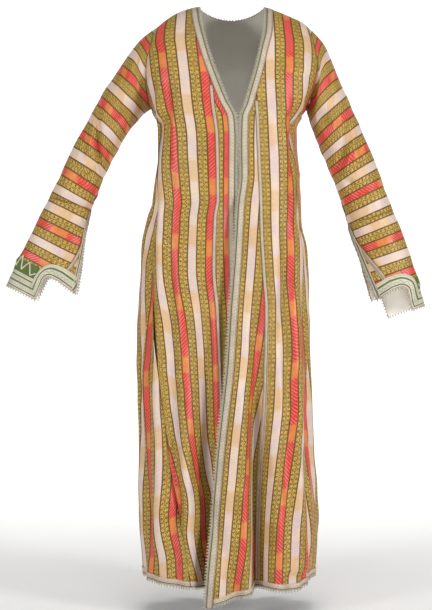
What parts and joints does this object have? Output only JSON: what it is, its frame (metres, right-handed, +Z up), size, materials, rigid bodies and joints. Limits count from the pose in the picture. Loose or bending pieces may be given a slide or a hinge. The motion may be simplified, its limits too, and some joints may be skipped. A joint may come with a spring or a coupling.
{
  "type": "qombaz robe",
  "caption": "Long open-fronted qombaz robe of striped silk with braid edging, worn pose: lapped front, hollow body and long sleeves that end in a slit, tongued cuff.",
  "frame": {"origin": "level with the two neck points, midway between the shoulders that carry the robe; the neck points are the tops of the side-of-neck edges", "axes": "+Z up, -Y the way the robe faces, +X to the wearer's left; metres in the packed model"},
  "size_m": [0.921, 0.3131, 1.2897],
  "materials": {
    "silk": "satin-faced striped silk brocade, cream, olive-gold and coral red, dull on its lined reverse",
    "braid": "woven metal-thread braid, grey and cream with thin dark green lines and a looped cord edge",
    "facing": "plain dark navy cotton, matt"
  },
  "bodies": {
    "root": {"back": "silk", "front_right": "silk", "front_gore_right": "silk", "side_wedge_right": "silk", "front_left": "silk", "front_gore_left": "silk", "side_wedge_left": "silk", "sleeve_upper_right": "silk", "sleeve_upper_left": "silk", "sleeve_lower_right": "silk", "sleeve_lower_left": "silk", "sleeve_gore_right": "silk", "sleeve_gore_left": "silk", "hem_braid_back": "braid", "hem_braid_front_right": "braid", "hem_braid_front_gore_right": "braid", "hem_braid_side_wedge_right": "braid", "hem_braid_front_left": "braid", "hem_braid_front_gore_left": "braid", "hem_braid_side_wedge_left": "braid", "edge_braid_right": "braid", "edge_braid_left": "braid", "gore_seam_braid_right": "braid", "gore_seam_braid_left": "braid", "neck_braid_back": "braid", "sleeve_seam_braid_right": "braid", "sleeve_seam_braid_left": "braid", "cuff_braid_right": "braid", "cuff_braid_left": "braid", "hem_facing_back": "facing"}
  },
  "joints": []
}
